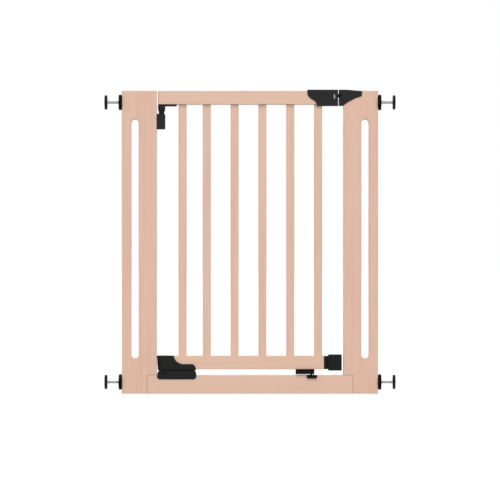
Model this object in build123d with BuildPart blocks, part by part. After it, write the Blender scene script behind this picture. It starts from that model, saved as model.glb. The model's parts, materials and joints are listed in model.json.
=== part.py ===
from build123d import *
import os

os.makedirs("parts", exist_ok=True)

# A safety gate that is clamped between two walls. X runs along the opening, Y from
# front to back and Z up, in millimetres, from the floor in the middle of the opening.

# Wooden frame
clear_opening = 501.0
post_width = 93.5
post_height = 812.5
frame_thickness = 22.0
wood_round = 2.0
slot_width = 19.8
slot_inset = 35.1
slot_bottom = 94.5
slot_top_drop = 76.5
threshold_height = 49.8
threshold_overlap = 25.5
dowel_diameter = 8.0
dowel_length = 40.0
dowel_height = 10.0
joint_ease = 0.6

# Adjusting spindles
spindle_height = 30.4
spindle_drop = 30.9
rod_diameter = 8.0
rod_in_post = 34.0
rod_gap = 31.2
rod_in_pad = 3.0
rod_chamfer = 1.0
rod_bore_diameter = 9.0
rod_travel_in = 28.0
bore_end_clearance = 3.0
running_clearance = 0.05
bush_diameter = 12.0
bush_length = 30.0
bush_flange_diameter = 20.0
bush_flange_thickness = 2.0
wheel_diameter = 41.3
wheel_thickness = 8.5
wheel_rim_width = 4.0
wheel_hub_diameter = 18.0
wheel_dish_depth = 2.5
wheel_rib_count = 6
wheel_rib_width = 2.0
wheel_chamfer = 0.8
scallop_count = 18
scallop_diameter = 5.0
scallop_depth = 1.2
pad_diameter = 38.4
pad_thickness = 4.5
pad_round = 1.2
rubber_thickness = 2.0

# Wooden leaf
leaf_gap = 3.5
leaf_round = 5.0
rail_height = 37.0
rail_thickness = 18.0
latch_side_space = 52.2
under_leaf_gap = 14.8
bar_count = 6
bar_width = 21.5
bar_thickness = 12.0
bar_round = 3.0
bar_pitch = 74.8
first_bar_from_post = 69.3
last_bar_from_end = 15.3
bar_tenon = 12.0

# Screws, all of one size
screw_diameter = 3.5
screw_length = 20.0
screw_head_diameter = 7.0
screw_head_depth = 1.8

# Upper hinge
hinge_inset = 13.0
bracket_length = 50.0
bracket_thickness = 4.4
knuckle_width = 19.0
knuckle_drop = 14.6
knuckle_round = 6.0
cheek_thickness = 3.6
cheek_edge = 1.5
eye_clearance = 0.2
rivet_diameter = 5.0
rivet_head_diameter = 10.5
rivet_head_thickness = 1.0
rivet_drop = 5.2
neck_diameter = 15.0
neck_length = 5.5
hinge_pin_diameter = 9.0
hinge_pin_length = 27.0
pin_end_clearance = 1.5
socket_foot = 12.6
socket_past_axis = 9.8
socket_depth = 20.0
socket_round = 6.0
socket_lead = 2.0
socket_step = 0.5
socket_peg_diameter = 8.0
socket_peg_length = 10.0
socket_peg_drop = 12.0
socket_screw_height = 5.5
bracket_screw_spacing = 17.0
bracket_screw_from_end = 7.0

# Lower hinge
saddle_length = 104.6
saddle_gap = 1.5
shoe_floor = 2.6
saddle_skirt = 11.2
saddle_wall = 3.2
saddle_round = 8.0
saddle_flare = 1.2
tension_slot_length = 9.4
tension_slot_height = 3.8
tension_slot_depth = 2.0
tension_slot_from_axis = 4.0
tension_slot_drop = 7.0
saddle_screw_spacing = 36.0
saddle_screw_from_end = 24.0
shoe_gap = 0.5
shoe_length = 103.4
ankle_drop = 0.2
shoe_width = 24.0
shoe_edge = 1.5
ankle_length = 44.3
toe_height = 14.4
instep_rise = 0.4
instep_lean = 4.0
instep_radius = 26.0
toe_radius = 12.0
barrel_gap = 0.4
barrel_taper = 2.2
barrel_step = 0.3
barrel_rim = 1.2
spring_chamber_diameter = 15.6
spring_chamber_height = 25.0
spring_clearance = 0.4
spring_wire = 1.6
lower_pin_diameter = 10.0
lower_pin_floor = 2.1
lower_pin_top_clearance = 1.5
lower_pin_engaged = 8.0
collar_height = 6.0
rail_in_shoe = 6.0
shoe_screw_spacing = 40.0
shoe_screw_from_end = 14.0

# Latch
strike_stand = 11.8
housing_length = 82.2
housing_wall = 2.6
housing_floor = 3.4
housing_cheek = 3.0
housing_edge = 0.7
housing_notch_width = 25.6
housing_notch_height = 35.0
notch_heel_pull = 17.5
notch_shoulder_pull = 17.5
notch_heel_round = 1.2
parting_depth = 0.4
parting_width = 0.4
strike_gap = 2.3
bolt_height = 9.0
bolt_width = 10.0
bolt_axis_drop = 13.2
bolt_clearance = 0.1
bolt_tip_gap = 0.4
bolt_tail_clearance = 0.7
bolt_in = 3.0
bolt_out = 8.0
bolt_tip_chamfer = 1.0
bolt_spring_diameter = 5.0
bolt_spring_wire = 0.8
bolt_spring_bore = 5.6
bolt_spring_length = 20.0
guide_rib_thickness = 2.5
guide_rib_from_end = 20.0
slide_length = 14.0
slide_width = 11.0
slide_clearance = 0.4
slide_from_rail = 7.5
slide_thickness = 3.2
slide_stem_length = 8.0
slide_stem_width = 6.0
slide_foot_depth = 1.4
slide_groove_count = 5
slide_groove_width = 1.0
slide_groove_depth = 0.8
slide_groove_pitch = 2.4
window_from_end = 9.9
window_drop = 3.3
window_width = 3.4
window_height = 13.0
window_thickness = 2.4
boss_diameter = 8.0
boss_height = 8.0
boss_from_rail = 8.0
boss_from_end = 12.0
through_screw_from_rail = 16.0
through_screw_drop = 11.0

# Strike
strike_wall = 2.5
strike_cap = 2.5
strike_reach = 49.3
strike_flat = 22.0
strike_cap_end_drop = 1.2
strike_end_height = 14.3
strike_bottom_drop = 40.0
strike_foot = 10.4
strike_sag = 2.7
strike_edge = 0.6
pocket_clearance = 0.6
lead_in_length = 9.0
lead_in_depth = 4.5
lead_in_height = 8.4
strike_screw_drop = 30.0
strike_cap_screw = 8.0

# Lower end block
collar_block_length = 11.8
collar_block_inset = 1.3
collar_block_rise = 0.4
block_gap = 4.2
block_overhang = 2.7
block_drop = 3.2
block_width = 24.0
block_edge = 1.2
spigot_length = 26.0
spigot_height = 14.0
spigot_width = 10.0
spigot_rise = 6.5
block_screw_from_end = 9.0

# Flip stop
stop_from_rail_end = 25.7
stop_length = 50.1
stop_clearance = 2.4
stop_edge = 1.0
flap_from_end = 8.0
flap_offset = 1.45
flap_neck_width = 6.0
flap_barrel_width = 8.0
flap_barrel_diameter = 6.2
flap_side_clearance = 0.3
flap_thickness = 5.6
flap_gap = 0.6
flap_axis_rise = 4.0
flap_tab_width = 26.7
flap_tab_height = 8.5
flap_tab_over = 0.2
flap_tab_round = 2.0
stop_pin_diameter = 3.0
stop_pin_length = 22.0
stop_screw_spacing = 15.0
stop_screw_from_end = 7.0

# Places that follow from the sizes above
post_inner = clear_opening / 2
post_outer = post_inner + post_width
slot_top = post_height - slot_top_drop
slot_x = post_outer - slot_inset
threshold_end = post_inner + threshold_overlap
spindle_heights = {"bottom": spindle_height, "top": post_height - spindle_drop}
rod_radius = rod_diameter / 2
rod_bore_depth = rod_in_post + rod_travel_in + bore_end_clearance
pad_seat = wheel_thickness + rod_gap
half_frame = frame_thickness / 2

hinge_x = hinge_inset - post_inner
leaf_left = leaf_gap - post_inner
half_rail = rail_thickness / 2
rail_right_end = post_inner - latch_side_space
bottom_rail_bottom = threshold_height + under_leaf_gap
top_rail_bottom = post_height - rail_height
bottom_rail_top = bottom_rail_bottom + rail_height
last_bar_x = rail_right_end - last_bar_from_end
bar_places = [last_bar_x - i * bar_pitch for i in reversed(range(bar_count - 1))]
bar_places.insert(0, first_bar_from_post - post_inner)

bracket_bottom = top_rail_bottom - bracket_thickness
knuckle_bottom = bracket_bottom - knuckle_drop
rivet_z = bracket_bottom - rivet_drop
eye_thickness = rail_thickness - 2 * cheek_thickness - 2 * eye_clearance
neck_bottom = knuckle_bottom - neck_length
socket_top = neck_bottom - socket_step
socket_height = hinge_pin_length + pin_end_clearance + socket_foot
socket_bottom = socket_top - socket_height
socket_right = hinge_x + socket_past_axis
socket_peg_z = socket_top - socket_peg_drop

saddle_left = saddle_gap - post_inner
saddle_right = saddle_left + saddle_length
saddle_plate = under_leaf_gap - shoe_floor - shoe_gap
saddle_top = threshold_height + saddle_plate
saddle_width = frame_thickness + 2 * saddle_wall
shoe_bottom = saddle_top + shoe_gap
shoe_top = bottom_rail_top - ankle_drop
shoe_right = saddle_left + shoe_length
ankle_right = saddle_left + ankle_length
barrel_radius = hinge_inset - barrel_gap
barrel_half_width = shoe_width / 2 - barrel_step
rail_left_in_shoe = ankle_right - rail_in_shoe
chamber_top = shoe_bottom + spring_chamber_height
lower_pin_bottom = threshold_height + lower_pin_floor
lower_pin_top = chamber_top + lower_pin_engaged
collar_top = shoe_bottom + collar_height

half_housing = half_rail + housing_cheek
housing_top = post_height + housing_wall
housing_bottom = top_rail_bottom - housing_floor
strike_left = post_inner - strike_stand
housing_right = strike_left - strike_gap
housing_left = housing_right - housing_length
cavity_right = housing_right - housing_wall
bolt_z = post_height - bolt_axis_drop
bolt_tip = strike_left - bolt_tip_gap
bolt_tail = rail_right_end + bolt_in + bolt_tail_clearance
slide_left = rail_right_end + slide_from_rail
slide_x = slide_left + slide_length / 2
window_x = housing_right - window_from_end
window_z = bolt_z - window_drop
rib_left = housing_right - guide_rib_from_end
boss_z = top_rail_bottom + boss_height
boss_places = [rail_right_end + boss_from_rail, housing_right - boss_from_end]

strike_right = post_inner + strike_reach
half_strike = half_frame + strike_wall
strike_top = post_height + strike_cap
strike_bottom = post_height - strike_bottom_drop

collar_right = rail_right_end + collar_block_length
block_length = post_inner - block_gap - collar_right
spigot_z = bottom_rail_bottom + spigot_rise

stop_right = rail_right_end - stop_from_rail_end
stop_left = stop_right - stop_length
stop_height = under_leaf_gap - stop_clearance
stop_bottom = bottom_rail_bottom - stop_height
flap_x = stop_right - flap_from_end
flap_axis_y = -(half_frame + flap_gap + flap_thickness / 2)
flap_axis_z = stop_bottom + flap_axis_rise
flap_tab_drop = flap_axis_z - threshold_height - flap_tab_over
stop_front = flap_axis_y - flap_barrel_diameter / 2

# Screw places: the origin is on the head's face and Z points out of the work
socket_screws_at = [Plane((socket_right, 0, socket_bottom + socket_screw_height), z_dir=(1, 0, 0))]
saddle_screws_at = [
    Plane((saddle_right - saddle_screw_from_end - i * saddle_screw_spacing, 0, saddle_top))
    for i in range(2)
]
bracket_screws_at = [
    Plane(
        (leaf_left + bracket_length - bracket_screw_from_end - i * bracket_screw_spacing, 0, bracket_bottom),
        z_dir=(0, 0, -1),
    )
    for i in range(2)
]
shoe_screws_at = [
    Plane((shoe_right - shoe_screw_from_end - i * shoe_screw_spacing, 0, shoe_bottom), z_dir=(0, 0, -1))
    for i in range(2)
]
stop_screws_at = [
    Plane((stop_left + stop_screw_from_end + i * stop_screw_spacing, 0, stop_bottom), z_dir=(0, 0, -1))
    for i in range(2)
]
block_screws_at = [
    Plane((rail_right_end - block_screw_from_end, 0, bottom_rail_bottom), z_dir=(0, 0, -1))
]
strike_screws_at = [
    Plane((strike_left, 0, post_height - strike_screw_drop), z_dir=(-1, 0, 0)),
    Plane((post_inner + strike_cap_screw, 0, strike_top)),
]
latch_screws_at = [Plane((x, half_housing, boss_z), z_dir=(0, 1, 0)) for x in boss_places]
latch_screws_at.append(
    Plane(
        (rail_right_end - through_screw_from_rail, half_housing, post_height - through_screw_drop),
        z_dir=(0, 1, 0),
    )
)

hang = (Align.CENTER, Align.CENTER, Align.MAX)
stand = (Align.CENTER, Align.CENTER, Align.MIN)


def wood_screw(mode=Mode.ADD):
    """A countersunk screw hanging from its head's face, or the hole that it fills."""
    Cylinder(screw_diameter / 2, screw_length, align=hang, mode=mode)
    Cone(screw_diameter / 2, screw_head_diameter / 2, screw_head_depth, align=hang, mode=mode)


def keep(piece, name):
    """Label a finished piece and write it to its file."""
    piece.part.label = name
    export_step(piece.part, f"parts/{name}.step")


def spindle_seat(side, height):
    """The plane on a post's outer edge where a spindle comes out, facing the wall."""
    return Plane((side * post_outer, 0, height), x_dir=(0, 1, 0), z_dir=(side, 0, 0))


# Posts
for side, hand in ((-1, "left"), (1, "right")):
    with BuildPart() as post:
        with BuildSketch(Plane.XZ):
            with Locations((side * (post_inner + post_width / 2), post_height / 2)):
                Rectangle(post_width, post_height)
            with Locations((side * (post_inner + threshold_overlap / 2), threshold_height / 2)):
                Rectangle(threshold_overlap, threshold_height, mode=Mode.SUBTRACT)
            with Locations((side * slot_x, (slot_bottom + slot_top) / 2)):
                SlotOverall(slot_top - slot_bottom, slot_width, rotation=90, mode=Mode.SUBTRACT)
        extrude(amount=half_frame, both=True)
        outline = post.faces().filter_by(Axis.Y).edges()
        fillet(outline.filter_by(lambda e: e.center().Z > (threshold_height + slot_bottom) / 2), wood_round)
        chamfer(
            post.edges().filter_by(Axis.Z).filter_by_position(
                Axis.X,
                side * threshold_end - joint_ease,
                side * threshold_end + joint_ease,
            ),
            joint_ease,
        )
        for height in spindle_heights.values():
            with Locations(spindle_seat(side, height)):
                Cylinder(rod_bore_diameter / 2, rod_bore_depth, align=hang, mode=Mode.SUBTRACT)
                Cylinder(bush_diameter / 2, bush_length, align=hang, mode=Mode.SUBTRACT)
                Cylinder(bush_flange_diameter / 2, bush_flange_thickness, align=hang, mode=Mode.SUBTRACT)
        with Locations((side * (post_inner + threshold_overlap / 2), 0, threshold_height)):
            Cylinder(dowel_diameter / 2, dowel_length, mode=Mode.SUBTRACT)
        with Locations((side * threshold_end, 0, dowel_height)):
            Cylinder(dowel_diameter / 2, dowel_length, rotation=(0, 90, 0), mode=Mode.SUBTRACT)
        if hand == "left":
            with Locations((-post_inner, 0, socket_peg_z)):
                Cylinder(
                    socket_peg_diameter / 2,
                    2 * socket_peg_length,
                    rotation=(0, 90, 0),
                    mode=Mode.SUBTRACT,
                )
            with Locations(*socket_screws_at):
                wood_screw(Mode.SUBTRACT)
        else:
            with Locations(*strike_screws_at):
                wood_screw(Mode.SUBTRACT)
    keep(post, f"{hand}_post")

# Threshold
with BuildPart() as threshold_rail:
    Box(2 * threshold_end, frame_thickness, threshold_height, align=stand)
    chamfer(threshold_rail.edges().filter_by(Axis.Z), joint_ease)
    fillet(threshold_rail.faces().sort_by(Axis.Z)[-1].edges().filter_by(Axis.X), wood_round)
    for side in (-1, 1):
        with Locations((side * (post_inner + threshold_overlap / 2), 0, threshold_height)):
            Cylinder(dowel_diameter / 2, dowel_length, mode=Mode.SUBTRACT)
        with Locations((side * threshold_end, 0, dowel_height)):
            Cylinder(dowel_diameter / 2, dowel_length, rotation=(0, 90, 0), mode=Mode.SUBTRACT)
    with Locations(*saddle_screws_at):
        wood_screw(Mode.SUBTRACT)
keep(threshold_rail, "threshold_rail")

with BuildPart() as frame_dowels:
    for side in (-1, 1):
        with Locations((side * (post_inner + threshold_overlap / 2), 0, threshold_height)):
            Cylinder(dowel_diameter / 2, dowel_length)
        with Locations((side * threshold_end, 0, dowel_height)):
            Cylinder(dowel_diameter / 2, dowel_length, rotation=(0, 90, 0))
keep(frame_dowels, "frame_dowels")

# Adjusting spindles
with BuildPart() as guide_bushes:
    for side in (-1, 1):
        for height in spindle_heights.values():
            with Locations(spindle_seat(side, height)):
                Cylinder(bush_diameter / 2, bush_length, align=hang)
                Cylinder(bush_flange_diameter / 2, bush_flange_thickness, align=hang)
                Cylinder(rod_radius + running_clearance, bush_length, align=hang, mode=Mode.SUBTRACT)
keep(guide_bushes, "guide_bushes")

for side, hand in ((-1, "left"), (1, "right")):
    for level, height in spindle_heights.items():
        seat = spindle_seat(side, height)

        with BuildPart() as handwheel:
            with BuildSketch(seat):
                Circle(wheel_diameter / 2)
                with PolarLocations((wheel_diameter + scallop_diameter) / 2 - scallop_depth, scallop_count):
                    Circle(scallop_diameter / 2, mode=Mode.SUBTRACT)
            extrude(amount=wheel_thickness)
            chamfer(handwheel.faces().filter_by(Axis.X).edges(), wheel_chamfer)
            with BuildSketch(seat.offset(wheel_thickness)):
                Circle(wheel_diameter / 2 - wheel_rim_width)
                Circle(wheel_hub_diameter / 2, mode=Mode.SUBTRACT)
                with PolarLocations(wheel_diameter / 4, wheel_rib_count):
                    Rectangle(wheel_diameter / 2, wheel_rib_width, mode=Mode.SUBTRACT)
            extrude(amount=-wheel_dish_depth, mode=Mode.SUBTRACT)
            with Locations(seat):
                Cylinder(rod_radius + running_clearance, wheel_thickness, align=stand, mode=Mode.SUBTRACT)
        keep(handwheel, f"handwheel_{level}_{hand}")

        with BuildPart() as spindle_rod:
            with BuildSketch(seat.offset(-rod_in_post)):
                Circle(rod_radius)
            extrude(amount=rod_in_post + pad_seat + rod_in_pad)
            chamfer(spindle_rod.edges().sort_by(Axis.X)[0 if side > 0 else -1], rod_chamfer)
        keep(spindle_rod, f"spindle_rod_{level}_{hand}")

        with BuildPart() as wall_pad:
            with BuildSketch(seat.offset(pad_seat)):
                Circle(pad_diameter / 2)
            extrude(amount=pad_thickness)
            fillet(wall_pad.edges().sort_by(Axis.X)[0 if side > 0 else -1], pad_round)
            with Locations(seat.offset(pad_seat)):
                Cylinder(rod_radius, rod_in_pad, align=stand, mode=Mode.SUBTRACT)
        keep(wall_pad, f"wall_pad_{level}_{hand}")

        with BuildPart() as pad_rubber:
            with BuildSketch(seat.offset(pad_seat + pad_thickness)):
                Circle(pad_diameter / 2)
            extrude(amount=rubber_thickness)
        keep(pad_rubber, f"pad_rubber_{level}_{hand}")

# Leaf rails
with BuildPart() as leaf_top_rail:
    with BuildSketch(Plane.XY.offset(top_rail_bottom)) as plan:
        with Locations(((leaf_left + rail_right_end) / 2, 0)):
            Rectangle(rail_right_end - leaf_left, rail_thickness)
        fillet(plan.vertices().group_by(Axis.X)[0], leaf_round)
    extrude(amount=rail_height)
    fillet(leaf_top_rail.faces().filter_by(Axis.Z).edges(), wood_round)
    with BuildSketch(Plane.XY.offset(top_rail_bottom)):
        with Locations(*[(x, 0) for x in bar_places]):
            RectangleRounded(bar_width, bar_thickness, bar_round)
    extrude(amount=bar_tenon, mode=Mode.SUBTRACT)
    with Locations(*bracket_screws_at, *latch_screws_at):
        wood_screw(Mode.SUBTRACT)
keep(leaf_top_rail, "leaf_top_rail")

with BuildPart() as leaf_bottom_rail:
    with BuildSketch(Plane.XY.offset(bottom_rail_bottom)):
        with Locations(((rail_left_in_shoe + rail_right_end) / 2, 0)):
            Rectangle(rail_right_end - rail_left_in_shoe, rail_thickness)
    extrude(amount=rail_height)
    fillet(leaf_bottom_rail.faces().filter_by(Axis.Z).edges().filter_by(Axis.X), wood_round)
    with BuildSketch(Plane.XY.offset(bottom_rail_top)):
        with Locations(*[(x, 0) for x in bar_places]):
            RectangleRounded(bar_width, bar_thickness, bar_round)
    extrude(amount=-bar_tenon, mode=Mode.SUBTRACT)
    with Locations((rail_right_end, 0, spigot_z)):
        Box(2 * spigot_length, spigot_width, spigot_height, align=stand, mode=Mode.SUBTRACT)
    with Locations(*shoe_screws_at, *stop_screws_at, *block_screws_at):
        wood_screw(Mode.SUBTRACT)
keep(leaf_bottom_rail, "leaf_bottom_rail")

# Bars
for number, x in enumerate(bar_places, start=1):
    with BuildPart() as leaf_bar:
        with BuildSketch(Plane.XY.offset(bottom_rail_top - bar_tenon)):
            with Locations((x, 0)):
                RectangleRounded(bar_width, bar_thickness, bar_round)
        extrude(amount=top_rail_bottom - bottom_rail_top + 2 * bar_tenon)
    keep(leaf_bar, f"leaf_bar_{number}")

# Upper hinge
with BuildPart() as upper_hinge_bracket:
    with BuildSketch(Plane.XY.offset(bracket_bottom)) as plan:
        with Locations((leaf_left + bracket_length / 2, 0)):
            Rectangle(bracket_length, rail_thickness)
        fillet(plan.vertices().group_by(Axis.X)[0], leaf_round)
    extrude(amount=bracket_thickness)
    with BuildSketch(Plane.XZ) as cheek:
        with Locations((hinge_x, bracket_bottom)):
            Rectangle(knuckle_width, knuckle_drop, align=(Align.CENTER, Align.MAX))
        fillet(cheek.vertices().group_by(Axis.Y)[0], knuckle_round)
    extrude(amount=half_rail, both=True)
    with BuildSketch(Plane.XY.offset(bracket_bottom)):
        with Locations((hinge_x, 0)):
            Rectangle(knuckle_width, rail_thickness - 2 * cheek_thickness)
    extrude(amount=-knuckle_drop, mode=Mode.SUBTRACT)
    fillet(
        upper_hinge_bracket.edges()
        .filter_by(Axis.Z)
        .filter_by(lambda e: abs(e.center().Y) > half_rail - cheek_thickness / 2)
        .filter_by(lambda e: e.center().Z < bracket_bottom),
        cheek_edge,
    )
    with Locations((hinge_x, 0, rivet_z)):
        Cylinder(rivet_diameter / 2, rail_thickness, rotation=(90, 0, 0), mode=Mode.SUBTRACT)
    with Locations(*bracket_screws_at):
        wood_screw(Mode.SUBTRACT)
keep(upper_hinge_bracket, "upper_hinge_bracket")

with BuildPart() as upper_hinge_pin:
    with BuildSketch(Plane.XZ) as eye:
        with Locations((hinge_x, bracket_bottom - eye_clearance)):
            Rectangle(neck_diameter, knuckle_drop, align=(Align.CENTER, Align.MAX))
        fillet(eye.vertices().group_by(Axis.Y)[-1], knuckle_round)
    extrude(amount=eye_thickness / 2, both=True)
    with Locations((hinge_x, 0, neck_bottom)):
        Cylinder(neck_diameter / 2, neck_length - eye_clearance, align=stand)
        Cylinder(hinge_pin_diameter / 2, hinge_pin_length, align=hang)
    with Locations((hinge_x, 0, rivet_z)):
        Cylinder(rivet_diameter / 2, rail_thickness, rotation=(90, 0, 0), mode=Mode.SUBTRACT)
    chamfer(upper_hinge_pin.edges().sort_by(Axis.Z)[0], rod_chamfer)
keep(upper_hinge_pin, "upper_hinge_pin")

with BuildPart() as hinge_cross_rivet:
    with Locations((hinge_x, 0, rivet_z)):
        Cylinder(rivet_diameter / 2, rail_thickness, rotation=(90, 0, 0))
    for side in (-1, 1):
        with Locations(Plane((hinge_x, side * half_rail, rivet_z), z_dir=(0, side, 0))):
            Cone(
                rivet_head_diameter / 2,
                rivet_diameter / 2,
                rivet_head_thickness,
                align=stand,
            )
keep(hinge_cross_rivet, "hinge_cross_rivet")

with BuildPart() as bracket_screws:
    with Locations(*bracket_screws_at):
        wood_screw()
keep(bracket_screws, "bracket_screws")

with BuildPart() as upper_hinge_socket:
    with BuildSketch(Plane.XY.offset(socket_bottom)) as plan:
        with Locations((-post_inner, 0)):
            Rectangle(socket_right + post_inner, socket_depth, align=(Align.MIN, Align.CENTER))
        fillet(plan.vertices().group_by(Axis.X)[-1], socket_round)
    extrude(amount=socket_height)
    rim = upper_hinge_socket.faces().sort_by(Axis.Z)[-1].edges()
    chamfer(rim.filter_by(lambda e: e.center().X > -post_inner + socket_lead), socket_lead)
    with Locations((hinge_x, 0, socket_top)):
        Cylinder(
            hinge_pin_diameter / 2 + running_clearance,
            hinge_pin_length + pin_end_clearance,
            align=hang,
            mode=Mode.SUBTRACT,
        )
    with Locations(Plane((-post_inner, 0, socket_peg_z), z_dir=(1, 0, 0))):
        Cylinder(socket_peg_diameter / 2, socket_peg_length, align=hang)
    with Locations(*socket_screws_at):
        wood_screw(Mode.SUBTRACT)
keep(upper_hinge_socket, "upper_hinge_socket")

with BuildPart() as socket_screws:
    with Locations(*socket_screws_at):
        wood_screw()
keep(socket_screws, "socket_screws")

# Lower hinge
with BuildPart() as lower_hinge_saddle:
    with BuildSketch(Plane.XZ) as skirt:
        with BuildLine():
            Polyline(
                (saddle_left + saddle_flare, saddle_top),
                (saddle_left, threshold_height),
                (saddle_left, threshold_height - saddle_skirt),
                (saddle_right, threshold_height - saddle_skirt),
                (saddle_right, threshold_height),
                (saddle_right - saddle_flare, saddle_top),
                close=True,
            )
        make_face()
        fillet(skirt.vertices().filter_by(lambda v: v.Z < saddle_top), saddle_round)
    extrude(amount=saddle_width / 2, both=True)
    Box(2 * threshold_end, frame_thickness, threshold_height, align=stand, mode=Mode.SUBTRACT)
    fillet(lower_hinge_saddle.faces().sort_by(Axis.Z)[-1].edges().filter_by(Axis.X), shoe_edge)
    with BuildSketch(Plane.XZ.offset(saddle_width / 2)):
        with Locations((hinge_x + tension_slot_from_axis, saddle_top - tension_slot_drop)):
            SlotOverall(tension_slot_length, tension_slot_height)
    extrude(amount=-tension_slot_depth, mode=Mode.SUBTRACT)
    with Locations((hinge_x, 0, saddle_top)):
        Cylinder(
            spring_chamber_diameter / 2 - running_clearance,
            shoe_gap + collar_height,
            align=stand,
        )
    with Locations((hinge_x, 0, lower_pin_bottom)):
        Cylinder(lower_pin_diameter / 2, lower_pin_top - lower_pin_bottom, align=stand, mode=Mode.SUBTRACT)
    with Locations(*saddle_screws_at):
        wood_screw(Mode.SUBTRACT)
keep(lower_hinge_saddle, "lower_hinge_saddle")

with BuildPart() as saddle_screws:
    with Locations(*saddle_screws_at):
        wood_screw()
keep(saddle_screws, "saddle_screws")

with BuildPart() as lower_hinge_pin:
    with Locations((hinge_x, 0, lower_pin_bottom)):
        Cylinder(lower_pin_diameter / 2, lower_pin_top - lower_pin_bottom, align=stand)
    chamfer(lower_hinge_pin.edges().sort_by(Axis.Z)[-1], rod_chamfer)
keep(lower_hinge_pin, "lower_hinge_pin")

with BuildPart() as closing_spring:
    with Locations((hinge_x, 0, collar_top)):
        Cylinder(
            lower_pin_diameter / 2 + spring_clearance + spring_wire,
            chamber_top - collar_top - spring_clearance,
            align=stand,
        )
        Cylinder(
            lower_pin_diameter / 2 + spring_clearance,
            chamber_top - collar_top - spring_clearance,
            align=stand,
            mode=Mode.SUBTRACT,
        )
keep(closing_spring, "closing_spring")

with BuildPart() as lower_hinge_shoe:
    with BuildSketch(Plane.XZ) as side_view:
        toe_end = (shoe_right, bottom_rail_bottom + toe_height - instep_rise)
        instep = (ankle_right + instep_lean, bottom_rail_bottom + toe_height)
        with BuildLine():
            Polyline(
                (hinge_x, shoe_bottom),
                (shoe_right, shoe_bottom),
                toe_end,
                instep,
                (ankle_right, shoe_top),
                (hinge_x, shoe_top),
                close=True,
            )
        make_face()
        fillet(side_view.vertices().sort_by_distance(toe_end)[0], toe_radius)
        fillet(side_view.vertices().sort_by_distance(instep)[0], instep_radius)
    extrude(amount=shoe_width / 2, both=True)
    sides = lower_hinge_shoe.faces().filter_by(Axis.Y).edges()
    fillet(sides.filter_by(lambda e: e.center().X > hinge_x + shoe_edge), shoe_edge)
    barrel_sections = [
        (shoe_bottom, barrel_radius - barrel_taper, barrel_half_width),
        (shoe_top - barrel_rim, barrel_radius, barrel_half_width),
        (shoe_top, barrel_radius - barrel_rim, barrel_half_width - barrel_rim),
    ]
    for ends in zip(barrel_sections, barrel_sections[1:]):
        for height, reach, half_width in ends:
            with BuildSketch(Plane.XY.offset(height)):
                with Locations((hinge_x, 0)):
                    Ellipse(reach, half_width)
        loft()
    with Locations((rail_left_in_shoe, 0, bottom_rail_bottom)):
        Box(
            shoe_length,
            rail_thickness,
            rail_height,
            align=(Align.MIN, Align.CENTER, Align.MIN),
            mode=Mode.SUBTRACT,
        )
    with Locations((hinge_x, 0, shoe_bottom)):
        Cylinder(spring_chamber_diameter / 2, spring_chamber_height, align=stand, mode=Mode.SUBTRACT)
        Cylinder(
            lower_pin_diameter / 2 + running_clearance,
            spring_chamber_height + lower_pin_engaged + lower_pin_top_clearance,
            align=stand,
            mode=Mode.SUBTRACT,
        )
    with Locations(*shoe_screws_at):
        wood_screw(Mode.SUBTRACT)
keep(lower_hinge_shoe, "lower_hinge_shoe")

with BuildPart() as shoe_screws:
    with Locations(*shoe_screws_at):
        wood_screw()
keep(shoe_screws, "shoe_screws")


def latch_housing(shell):
    """The whole latch housing on the end of the top rail, before it is parted in two."""
    notch_x = housing_left + housing_notch_width
    notch_z = housing_bottom + housing_notch_height
    with BuildSketch(Plane.XZ) as outline:
        with BuildLine():
            Polyline(
                (housing_left, notch_z),
                (housing_left, housing_top),
                (housing_right, housing_top),
                (housing_right, housing_bottom),
                (notch_x, housing_bottom),
            )
            Bezier(
                (notch_x, housing_bottom),
                (notch_x, housing_bottom + notch_heel_pull),
                (housing_left, notch_z - notch_shoulder_pull),
                (housing_left, notch_z),
            )
        make_face()
        fillet(outline.vertices().sort_by_distance((notch_x, housing_bottom))[0], notch_heel_round)
    extrude(outline.sketch, amount=half_housing, both=True)
    fillet(shell.faces().filter_by(Axis.Y).edges(), housing_edge)
    with BuildSketch(Plane.XZ) as seam:
        add(outline.sketch)
        offset(outline.sketch, -parting_depth, mode=Mode.SUBTRACT)
    extrude(seam.sketch, amount=parting_width / 2, both=True, mode=Mode.SUBTRACT)
    with Locations((0, 0, top_rail_bottom)):
        Box(2 * cavity_right, rail_thickness, rail_height, align=stand, mode=Mode.SUBTRACT)
    with BuildSketch(Plane.XY.offset(housing_bottom)) as bar_section:
        with Locations((last_bar_x, 0)):
            RectangleRounded(bar_width, bar_thickness, bar_round)
    extrude(bar_section.sketch, amount=housing_floor, mode=Mode.SUBTRACT)
    with Locations((rib_left, 0, top_rail_bottom)):
        Box(
            guide_rib_thickness,
            rail_thickness,
            bolt_z + bolt_height / 2 - top_rail_bottom,
            align=(Align.MIN, Align.CENTER, Align.MIN),
        )
    for x in boss_places:
        with Locations((x, 0, boss_z)):
            Cylinder(boss_diameter / 2, rail_thickness, rotation=(90, 0, 0))
    with Locations((rib_left, 0, bolt_z)):
        Box(
            guide_rib_from_end + strike_gap,
            bolt_width + 2 * bolt_clearance,
            bolt_height + 2 * bolt_clearance,
            align=(Align.MIN, Align.CENTER, Align.CENTER),
            mode=Mode.SUBTRACT,
        )
    with Locations((slide_left - bolt_in - slide_clearance, 0, post_height)):
        Box(
            slide_length + bolt_in + bolt_out + 2 * slide_clearance,
            slide_width + 2 * slide_clearance,
            housing_wall,
            align=(Align.MIN, Align.CENTER, Align.MIN),
            mode=Mode.SUBTRACT,
        )
    with BuildSketch(Plane.XZ.offset(half_housing)) as window_outline:
        with Locations((window_x, window_z)):
            SlotOverall(window_height, window_width, rotation=90)
    extrude(window_outline.sketch, amount=-housing_cheek, mode=Mode.SUBTRACT)
    with Locations(*latch_screws_at):
        wood_screw(Mode.SUBTRACT)


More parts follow.
